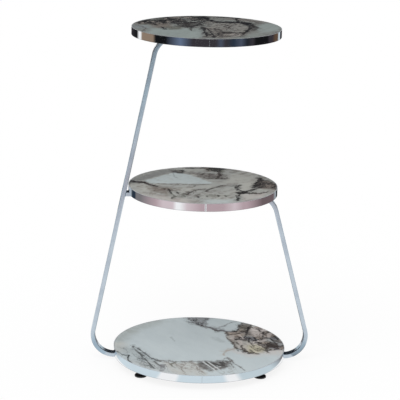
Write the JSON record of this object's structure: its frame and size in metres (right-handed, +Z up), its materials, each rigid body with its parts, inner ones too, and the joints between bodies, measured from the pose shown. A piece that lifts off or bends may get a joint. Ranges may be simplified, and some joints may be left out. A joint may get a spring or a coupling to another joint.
{
  "type": "tiered side table",
  "caption": "Tall side table with round marble-look tiers in polished metal rims, stacked on one axis and carried by bent flat-bar legs on levelling feet.",
  "frame": {"origin": "on the floor, under the common axis of the round tiers", "axes": "+Z up along the tiers' axis, legs in the XZ plane with the long leg at -X and the short leg at +X, front at -Y"},
  "size_m": [0.507, 0.4, 0.785],
  "materials": {
    "core_board": "fibreboard with a matt dark backing",
    "bottom_stone": "polished pale grey marble look with tan and brown veining at one side",
    "middle_stone": "polished warm grey marble look with brown veins",
    "top_stone": "polished grey marble look with dark brown broken veins",
    "rim_chrome": "mirror-polished band",
    "bar_steel": "satin polished flat bar",
    "screw_steel": "zinc plated",
    "insert_brass": "plain turned",
    "foot_black": "moulded, glossy black"
  },
  "bodies": {
    "table": {"bottom_core": "core_board", "bottom_sheet": "bottom_stone", "bottom_rim": "rim_chrome", "middle_core": "core_board", "middle_sheet": "middle_stone", "middle_rim": "rim_chrome", "top_core": "core_board", "top_sheet": "top_stone", "top_rim": "rim_chrome", "long_leg": "bar_steel", "short_leg": "bar_steel", "middle_arm": "bar_steel", "long_leg_low_screws": "screw_steel", "long_leg_low_inserts": "insert_brass", "long_leg_high_screws": "screw_steel", "long_leg_high_inserts": "insert_brass", "short_leg_low_screws": "screw_steel", "short_leg_low_inserts": "insert_brass", "short_leg_high_screws": "screw_steel", "short_leg_high_inserts": "insert_brass", "middle_arm_screws": "screw_steel", "middle_arm_inserts": "insert_brass", "foot_inserts": "insert_brass"},
    "pad_front_left": {"foot_pad_front_left": "foot_black"},
    "stem_front_left": {"foot_stem_front_left": "screw_steel"},
    "pad_front_right": {"foot_pad_front_right": "foot_black"},
    "stem_front_right": {"foot_stem_front_right": "screw_steel"},
    "pad_back_left": {"foot_pad_back_left": "foot_black"},
    "stem_back_left": {"foot_stem_back_left": "screw_steel"},
    "pad_back_right": {"foot_pad_back_right": "foot_black"},
    "stem_back_right": {"foot_stem_back_right": "screw_steel"}
  },
  "joints": [
    {"name": "foot_front_left_slide", "type": "slide", "parent": "table", "child": "pad_front_left", "axis": [0, 0, -1], "range_m": [-0.003, 0.005]},
    {"name": "foot_front_left_turn", "type": "hinge", "parent": "pad_front_left", "child": "stem_front_left", "pos_m": [-0.13618, -0.11306, 0.0108], "axis": [0, 0, -1], "range_deg": [-864, 1440]},
    {"name": "foot_front_right_slide", "type": "slide", "parent": "table", "child": "pad_front_right", "axis": [0, 0, -1], "range_m": [-0.003, 0.005]},
    {"name": "foot_front_right_turn", "type": "hinge", "parent": "pad_front_right", "child": "stem_front_right", "pos_m": [0.13618, -0.11306, 0.0108], "axis": [0, 0, -1], "range_deg": [-864, 1440]},
    {"name": "foot_back_left_slide", "type": "slide", "parent": "table", "child": "pad_back_left", "axis": [0, 0, -1], "range_m": [-0.003, 0.005]},
    {"name": "foot_back_left_turn", "type": "hinge", "parent": "pad_back_left", "child": "stem_back_left", "pos_m": [-0.13618, 0.11306, 0.0108], "axis": [0, 0, -1], "range_deg": [-864, 1440]},
    {"name": "foot_back_right_slide", "type": "slide", "parent": "table", "child": "pad_back_right", "axis": [0, 0, -1], "range_m": [-0.003, 0.005]},
    {"name": "foot_back_right_turn", "type": "hinge", "parent": "pad_back_right", "child": "stem_back_right", "pos_m": [0.13618, 0.11306, 0.0108], "axis": [0, 0, -1], "range_deg": [-864, 1440]}
  ],
  "couplings": [
    {"joint": "foot_front_left_slide", "follows": "foot_front_left_turn", "m_per_rad": 0.00019894},
    {"joint": "foot_front_right_slide", "follows": "foot_front_right_turn", "m_per_rad": 0.00019894},
    {"joint": "foot_back_left_slide", "follows": "foot_back_left_turn", "m_per_rad": 0.00019894},
    {"joint": "foot_back_right_slide", "follows": "foot_back_right_turn", "m_per_rad": 0.00019894}
  ]
}
